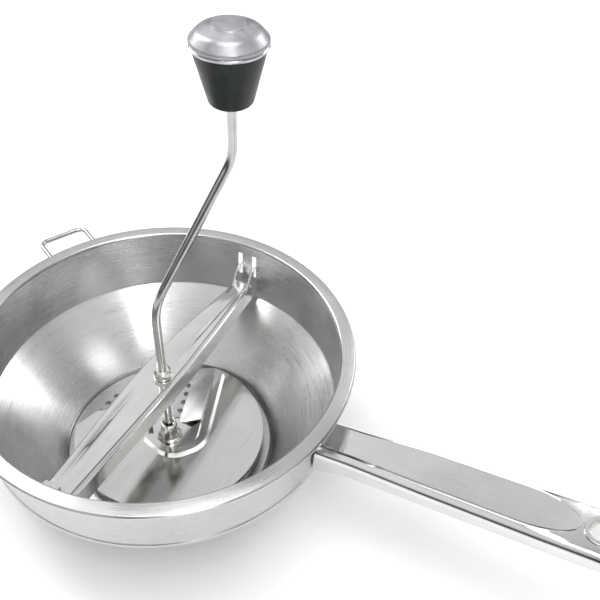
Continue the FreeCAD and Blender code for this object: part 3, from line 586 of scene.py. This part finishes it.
def groove_depth(y, low, high, deep):
    """A groove that deepens and shallows smoothly between two places."""
    if not low < y < high:
        return 0.0
    return deep * math.sin(math.pi * (y - low) / (high - low)) ** 1.2


def bar_section(y):
    left, right = edges_at(y)
    wide = right - left
    top = []
    for middle, deep in ((left + 0.26 * wide, groove_depth(y, -88, -12, 0.9)),
                         (left + 0.60 * wide, groove_depth(y, 8, 84, 0.9))):
        half = 0.09 * wide
        top += [(middle - half, 0), (middle - half * 0.5, -deep * 0.6), (middle, -deep),
                (middle + half * 0.5, -deep * 0.6), (middle + half, 0)]
    bead = [(right - 3.3, 0), (right - 2.7, -0.7), (right - 2.1, -0.6), (right - 1.6, 0),
            (right - 1.0, 0.0), (right - 0.3, -0.4), (right, -1.2), (right, -bar_depth)]
    inner = [(right - bar_sheet, -bar_depth), (right - bar_sheet, -bar_sheet - 0.9),
             (left + bar_sheet, -bar_sheet - 0.9), (left + bar_sheet, -bar_depth)]
    outer = [(left, -bar_depth), (left, -1.0), (left + 0.3, -0.3), (left + 1.0, 0)]
    return [Vector((x * mm, y * mm, z * mm)) for x, z in outer + top + bead + inner]


# %% Skin sections, and cut a plate with soft edges
def skinned(sections):
    """Bridge closed sections one after another and close both ends."""
    bm = bmesh.new()
    loops = []
    for section in sections:
        verts = [bm.verts.new(point) for point in section]
        loops.append([bm.edges.new(pair) for pair in zip(verts, verts[1:] + verts[:1])])
    for first, second in zip(loops, loops[1:]):
        bmesh.ops.bridge_loops(bm, edges=first + second)
    bmesh.ops.holes_fill(bm, edges=loops[0] + loops[-1], sides=0)
    bmesh.ops.recalc_face_normals(bm, faces=bm.faces)
    return bm


def plate(points, low, high, edge):
    """An upright plate in the YZ plane, from low to high in X, with softened edges."""
    bm = bmesh.new()
    face = bm.faces.new([bm.verts.new((low * mm, y * mm, z * mm)) for y, z in points])
    raised = bmesh.ops.extrude_face_region(bm, geom=[face])
    verts = [item for item in raised["geom"] if isinstance(item, bmesh.types.BMVert)]
    bmesh.ops.translate(bm, verts=verts, vec=((high - low) * mm, 0, 0))
    bmesh.ops.recalc_face_normals(bm, faces=bm.faces)
    bmesh.ops.bevel(bm, geom=bm.edges, offset=edge * mm, segments=2, profile=0.5,
                    affect="EDGES", material=-1, clamp_overlap=True)
    return bm


def drill(radius, depth, segments=48, place=(0, 0, 0)):
    """An upright round cutter, in millimetres."""
    bm = bmesh.new()
    bmesh.ops.create_cone(bm, cap_ends=True, segments=segments, radius1=radius * mm,
                          radius2=radius * mm, depth=depth * mm,
                          matrix=Matrix.Translation([part * mm for part in place]))
    return bm


# %% Skin the bar, drill it, and add its tongue and prongs
places = [-97 + 193 * step / 64 for step in range(65)]
bar = cut_out(skinned([bar_section(y) for y in places]), drill(4.15, 50))
bar = join(bar, plate([(-95.8, -1.2), (-95.8, 12), (-106.4, 12), (-106.4, 10.8), (-97, 10.8),
                       (-97, -1.2)], -4.5, 4.5, 0.3))
for side in prong_places:
    bar = join(bar, plate([(82, 0), (93, -0.1), (95.5, 6.3), (103.8, 6.3), (103.8, 10.5),
                           (96.5, 10.5), (90, 0)], side - 0.6, side + 0.6, 0.25))
bar_frame = Matrix.Translation((0, 0, bar_top * mm)) @ Matrix.Rotation(bar_tilt, 4, "X")
bmesh.ops.transform(bar, matrix=bar_frame, verts=bar.verts)
even_normals(finish("crossbar_pressed", bar, "mill_body", "crossbar",
                    polished_steel, 35))

# %% [markdown]
# ## The handle
#
# The handle is folded from one sheet: a flat panel on top that ends in an oval before the
# hanging hole, a groove round the panel, and full round shoulders. The groove opens into
# a short slit near the bowl. It is skinned from sections like the bar, then hollowed, and
# its root is cut to the curve of the bowl.

# %% The handle's sizes, and its section at any place
handle_stations = [(0, 13.0, 19.0, 0.0), (22, 13.2, 15.0, 1.0), (60, 15.0, 13.8, 2.4),
                   (120, 15.8, 13.0, 2.8), (147, 15.8, 13.0, 2.95), (158, 15.6, 11.8, 2.5),
                   (166, 13.6, 9.2, 2.0)]
handle_frame = (Matrix.Translation((100 * mm, 0, 66.4 * mm))
                @ Matrix.Rotation(math.radians(-3), 4, "Y"))


def station_at(x):
    """Half width, depth and rise of the handle, eased between the known stations."""
    for (x0, *first), (x1, *last) in zip(handle_stations, handle_stations[1:]):
        if x <= x1:
            part = max(0.0, (x - x0) / (x1 - x0))
            return [a + (b - a) * part for a, b in zip(first, last)]
    return list(handle_stations[-1][1:])


def handle_section(x, inset=0.0):
    """The section at x. With an inset it is the hollow inside the sheet."""
    half, depth, rise = station_at(x)
    closing = math.sqrt(max(0.12, 1 - (max(0.0, x - 158) / 8.4) ** 2))
    half, depth = half * closing, depth * (0.35 + 0.65 * closing)
    half, low, high = half - inset, rise - depth + inset, rise - inset
    narrowing = math.sqrt(max(0.0, 1 - (max(0.0, x - 108) / 30) ** 2))
    shown = min(1.0, narrowing * 3)
    panel = max(0.4, (half - 5.2) * narrowing)
    around = high - 0.35
    slit = around - 0.2 * shown - groove_depth(x, 5, 38, 1.6)
    if inset:
        panel, slit = half - 5.4, around - 2.0
    side = [(panel, around + 0.35 * shown), (panel + 0.4, slit), (panel + 0.9, slit),
            (panel + 1.3, around), (half - 3.6, around - 0.3), (half - 2.2, around - 1.2),
            (half - 1.1, around - 2.6), (half - 0.3, around - 4.4), (half, (high + low) / 2),
            (half - 0.3, low + 3.6), (half - 1.3, low + 1.4), (half - 3.8, low)]
    points = side + [(-y, z) for y, z in reversed(side)]
    return [Vector((x * mm, y * mm, z * mm)) for y, z in points]


# %% Skin the handle, hollow it, and cut its hole and its root
hole_place = 147.5
root_radius = 103.45
outer = skinned([handle_section(-1 + 167.2 * step / 84) for step in range(85)])
inner = skinned([handle_section(-2 + 156 * step / 40, 1.0) for step in range(41)])
handle = cut_out(cut_out(outer, inner), drill(6.4, 60, place=(hole_place, 0, 0)))
bmesh.ops.transform(handle, matrix=handle_frame, verts=handle.verts)
handle = cut_out(handle, drill(root_radius, 400, segments=240))
even_normals(finish("handle_folded", handle, "mill_body", "handle_shell",
                    handle_steel, 34))

# %% [markdown]
# ## Pressed and turned pieces whose CAD shape is right
#
# The blade, the handle's bracket, the eyelet and the small fittings keep their CAD shape.
# What the CAD model lacks is the soft edge that pressing and tumbling leave, and that edge is
# what catches the light. A copy of each mesh is merged, its flat triangles dissolved into
# whole faces, and its sharp edges bevelled.

# %% Soften a copy of a CAD piece
crisp_angle = math.radians(32)


def softened(node, body, material, edge):
    """Bevel the crisp edges of a copy of a CAD piece by edge, in millimetres."""
    bm = bmesh.new()
    bm.from_mesh(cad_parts[node].data)
    bmesh.ops.remove_doubles(bm, verts=bm.verts, dist=0.002 * mm)
    bmesh.ops.dissolve_limit(bm, angle_limit=math.radians(0.6), verts=bm.verts, edges=bm.edges)
    crisp = [item for item in bm.edges
             if len(item.link_faces) == 2 and item.calc_face_angle() > crisp_angle]
    bmesh.ops.bevel(bm, geom=crisp, offset=edge * mm, segments=2, profile=0.5, affect="EDGES",
                    material=-1, clamp_overlap=True)
    bmesh.ops.triangulate(bm, faces=[face for face in bm.faces if len(face.verts) > 4])
    even_normals(finish(node + "_soft", bm, body, node, material, 50))


# %% The pieces that are softened
for node, body, slot, material, edge in (
    ("blade", "crank", "polished_steel", polished_steel, 0.3),
    ("handle_bracket", "mill_body", "brushed_steel", brushed_steel, 0.3),
    ("hanging_eyelet", "mill_body", "polished_steel", handle_steel, 0.25),
    ("blade_hub", "crank", "plated_hardware", plated_hardware, 0.3),
    ("hub_swage_ring", "crank", "plated_hardware", plated_hardware, 0.3),
    ("crank_stop_collar", "crank", "plated_hardware", plated_hardware, 0.25),
    ("crank_bush", "mill_body", "plated_hardware", plated_hardware, 0.2),
    ("upper_spring_washer", "mill_body", "plated_hardware", plated_hardware, 0.2),
    ("lower_spring_washer", "spring_seat", "plated_hardware", plated_hardware, 0.2),
):
    softened(node, body, material, edge)

# %% Keep the rest of the CAD pieces, with their finishes
for name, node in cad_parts.items():
    keep = brushed_steel if name == "sieve_disc" else plated_hardware
    for slot in node.material_slots:
        slot.material = keep

# %% [markdown]
# ## Floor and studio light
#
# Polished metal shows the room it stands in. A plain white room makes it flat, so the
# studio here is a pale dome with soft grey panels round it, as a photographer sets dark
# cards beside bright cloth. The panels fade towards the top of the dome. The metal
# reflects them, while the backdrop behind the mill stays plain and pale.

# %% The floor
floor_mesh = bpy.data.meshes.new("floor")
bm = bmesh.new()
bmesh.ops.create_grid(bm, size=4)
bm.to_mesh(floor_mesh)
bm.free()
floor = bpy.data.objects.new("floor", floor_mesh)
paint = bpy.data.materials.new("floor_paper")
paint.use_nodes = True
paper = paint.node_tree.nodes["Principled BSDF"]
paper.inputs["Base Color"].default_value = (0.84, 0.84, 0.84, 1)
paper.inputs["Roughness"].default_value = 0.9
floor_mesh.materials.append(paint)
scene.collection.objects.link(floor)

# %% The dome's directions
world = bpy.data.worlds.new("studio")
world.use_nodes = True
tree = world.node_tree
sky = add(tree, "ShaderNodeTexCoord", -1300)
apart = add(tree, "ShaderNodeSeparateXYZ", -1100)
tree.links.new(sky.outputs["Generated"], apart.inputs[0])
bearing = add(tree, "ShaderNodeMath", -900, 200, operation="ARCTAN2")
tree.links.new(apart.outputs["Y"], bearing.inputs[0])
tree.links.new(apart.outputs["X"], bearing.inputs[1])
circle = add(tree, "ShaderNodeMapRange", -700, 200)
circle.inputs["From Min"].default_value = -math.pi
circle.inputs["From Max"].default_value = math.pi
tree.links.new(bearing.outputs[0], circle.inputs["Value"])


# %% Grey panels round the dome, and its shade from horizon to top
def shades(pairs, x, y):
    """A colour ramp of greys."""
    ramp = add(tree, "ShaderNodeValToRGB", x, y)
    ramp.color_ramp.interpolation = "EASE"
    stops = ramp.color_ramp.elements
    stops[0].position, stops[1].position = pairs[0][0], pairs[-1][0]
    for position, shade in pairs[1:-1]:
        stops.new(position)
    for stop, (position, shade) in zip(stops, pairs):
        stop.color = (shade, shade, shade, 1)
    return ramp


panels = shades([(0.0, 1.0), (0.07, 0.30), (0.14, 1.0), (0.22, 0.95), (0.29, 0.25), (0.34, 1.0),
                 (0.44, 0.35), (0.50, 1.0), (0.57, 0.25), (0.63, 1.0), (0.74, 0.9), (0.80, 0.5),
                 (0.86, 1.0), (0.93, 0.22), (0.97, 0.9), (1.0, 1.0)], -500, 200)
tree.links.new(circle.outputs["Result"], panels.inputs["Fac"])
height = shades([(0.0, 0.10), (0.20, 0.13), (0.36, 0.8), (0.48, 1.0), (0.60, 1.0), (0.72, 1.0),
                 (0.85, 0.75), (1.0, 0.55)], -500, -100)
tree.links.new(apart.outputs["Z"], height.inputs["Fac"])

# %% Join the dome, and keep the backdrop pale
fade = add(tree, "ShaderNodeMapRange", -500, -350)
fade.inputs["From Min"].default_value = 0.25
fade.inputs["From Max"].default_value = 0.75
fade.inputs["To Min"].default_value = 1.0
fade.inputs["To Max"].default_value = 0.15
tree.links.new(apart.outputs["Z"], fade.inputs["Value"])
dome = add(tree, "ShaderNodeMix", -200, data_type="RGBA", blend_type="MULTIPLY")
tree.links.new(fade.outputs["Result"], dome.inputs["Factor"])
tree.links.new(height.outputs["Color"], dome.inputs["A"])
tree.links.new(panels.outputs["Color"], dome.inputs["B"])
seen = add(tree, "ShaderNodeLightPath", -200, 300)
backdrop = add(tree, "ShaderNodeMix", 0, data_type="RGBA")
backdrop.inputs["B"].default_value = (1, 1, 1, 1)
tree.links.new(seen.outputs["Is Camera Ray"], backdrop.inputs["Factor"])
tree.links.new(dome.outputs["Result"], backdrop.inputs["A"])
tree.links.new(backdrop.outputs["Result"], tree.nodes["Background"].inputs["Color"])
tree.nodes["Background"].inputs["Strength"].default_value = 0.95
scene.world = world
scene.view_settings.view_transform = "Standard"


# %% Soft boxes
def softbox(name, place, aim, size, power):
    light = bpy.data.lights.new(name, "AREA")
    light.shape = "RECTANGLE"
    light.size, light.size_y = size
    light.energy = power
    item = bpy.data.objects.new(name, light)
    item.location = place
    item.rotation_euler = (Vector(place) - Vector(aim)).to_track_quat("Z", "Y").to_euler()
    scene.collection.objects.link(item)


softbox("softbox_left", (-0.9, 0.2, 0.9), (0, 0, 0.05), (0.4, 0.9), 8)
softbox("softbox_back", (0.5, 1.1, 0.8), (0, 0, 0.05), (0.5, 0.4), 4)
softbox("softbox_front", (0.48, -0.48, 0.73), (0, 0, 0.05), (0.25, 0.7), 3)
softbox("softbox_top", (0.1, -0.1, 1.5), (0, 0, 0), (0.8, 0.8), 9)
print("lights:", len(bpy.data.lights))
